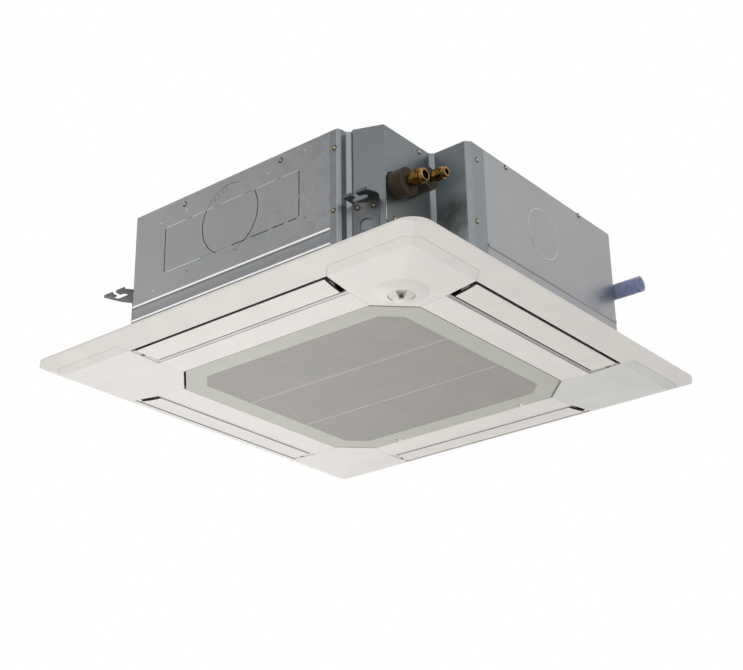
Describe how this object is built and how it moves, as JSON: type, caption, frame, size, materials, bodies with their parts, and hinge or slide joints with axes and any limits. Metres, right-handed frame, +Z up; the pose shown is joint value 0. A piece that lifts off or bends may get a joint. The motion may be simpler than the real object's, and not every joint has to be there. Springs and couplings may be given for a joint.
{
  "type": "ceiling cassette air conditioner",
  "caption": "Square ceiling cassette indoor unit: steel casing with hangers over a flat panel with swinging side vanes, a hinged intake grille and a turning sensor, round a fan and coil.",
  "frame": {"origin": "centre of the four suspension slots, at mid thickness of the hanger lugs", "axes": "+Z up, out of the room; -Y is the front side; +X is the right side, where the drain socket points; the piping corner is at +X -Y"},
  "size_m": [0.95, 0.95, 0.313],
  "materials": {
    "galvanised_steel": "galvanised sheet, dull",
    "panel_plastic": "fine matt moulding",
    "grille_plastic": "fine matt moulding",
    "vane_plastic": "satin moulding",
    "sensor_plastic": "satin moulding",
    "sensor_lens": "polished",
    "inner_plastic": "moulded",
    "fan_plastic": "moulded",
    "drain_socket_plastic": "translucent moulding",
    "foam": "expanded foam",
    "pipe_foam": "closed-cell foam sleeve",
    "rubber": "moulded rubber",
    "aluminium_fins": "bare fins",
    "copper_tube": "drawn copper tube",
    "brass_fittings": "machined brass",
    "motor_steel": "zinc plated"
  },
  "bodies": {
    "cassette": {"bell_mouth": "inner_plastic", "circuit_board": "inner_plastic", "coil_end_plates": "galvanised_steel", "control_box": "galvanised_steel", "control_box_cover": "galvanised_steel", "corner_cover_drain": "panel_plastic", "corner_cover_far": "panel_plastic", "corner_cover_left": "panel_plastic", "corner_cover_sensor": "panel_plastic", "corner_panel_drain": "galvanised_steel", "corner_panel_far": "galvanised_steel", "corner_panel_left": "galvanised_steel", "corner_panel_piping": "galvanised_steel", "drain_hose": "rubber", "drain_pan": "foam", "drain_plug": "rubber", "drain_pump": "inner_plastic", "drain_socket": "drain_socket_plastic", "fan_motor": "motor_steel", "fin_coil": "aluminium_fins", "flare_nuts": "brass_fittings", "float_switch_stem": "inner_plastic", "foam_side_liner": "foam", "foam_top_liner": "foam", "gas_header": "copper_tube", "gas_pipe": "copper_tube", "grille_catches": "inner_plastic", "hairpin_bends": "copper_tube", "hanger_brackets": "galvanised_steel", "liquid_distributor": "copper_tube", "liquid_pipe": "copper_tube", "motor_rubber_mounts": "rubber", "panel_frame": "panel_plastic", "panel_screws": "motor_steel", "panel_seals": "foam", "pipe_cover_plate": "galvanised_steel", "pipe_sleeves": "pipe_foam", "pump_bracket": "galvanised_steel", "sensor_drive": "inner_plastic", "side_panel_back": "galvanised_steel", "side_panel_front": "galvanised_steel", "side_panel_left": "galvanised_steel", "side_panel_right": "galvanised_steel", "terminal_block": "inner_plastic", "top_plate": "galvanised_steel", "vane_motors": "inner_plastic"},
    "fan_rotor": {"turbo_fan": "fan_plastic", "fan_shroud": "fan_plastic", "fan_nut": "motor_steel", "motor_shaft": "motor_steel"},
    "front_vane": {"vane_front": "vane_plastic"},
    "right_vane": {"vane_right": "vane_plastic"},
    "back_vane": {"vane_back": "vane_plastic"},
    "left_vane": {"vane_left": "vane_plastic"},
    "grille": {"intake_grille": "grille_plastic", "grille_stiffeners": "grille_plastic", "air_filter": "inner_plastic"},
    "sensor_turret": {"sensor_eye": "sensor_plastic", "sensor_lens": "sensor_lens"},
    "float": {"switch_float": "inner_plastic"}
  },
  "joints": [
    {"name": "fan_spin", "type": "hinge", "parent": "cassette", "child": "fan_rotor", "pos_m": [0, 0, 0.037], "axis": [0, 0, 1], "continuous": true},
    {"name": "front_vane_swing", "type": "hinge", "parent": "cassette", "child": "front_vane", "pos_m": [0, -0.392, -0.132], "axis": [1, 0, 0], "range_deg": [0, 60]},
    {"name": "right_vane_swing", "type": "hinge", "parent": "cassette", "child": "right_vane", "pos_m": [0.392, 0, -0.132], "axis": [0, 1, 0], "range_deg": [0, 60]},
    {"name": "back_vane_swing", "type": "hinge", "parent": "cassette", "child": "back_vane", "pos_m": [0, 0.392, -0.132], "axis": [-1, 0, 0], "range_deg": [0, 60]},
    {"name": "left_vane_swing", "type": "hinge", "parent": "cassette", "child": "left_vane", "pos_m": [-0.392, 0, -0.132], "axis": [0, -1, 0], "range_deg": [0, 60]},
    {"name": "grille_hinge", "type": "hinge", "parent": "cassette", "child": "grille", "pos_m": [0, 0.29, -0.1422], "axis": [1, 0, 0], "range_deg": [0, 90]},
    {"name": "sensor_turn", "type": "hinge", "parent": "cassette", "child": "sensor_turret", "pos_m": [0.309, -0.303, -0.145], "axis": [0, 0, 1], "range_deg": [-175, 175]},
    {"name": "float_rise", "type": "slide", "parent": "cassette", "child": "float", "axis": [0, 0, 1], "range_m": [0, 0.018]}
  ]
}
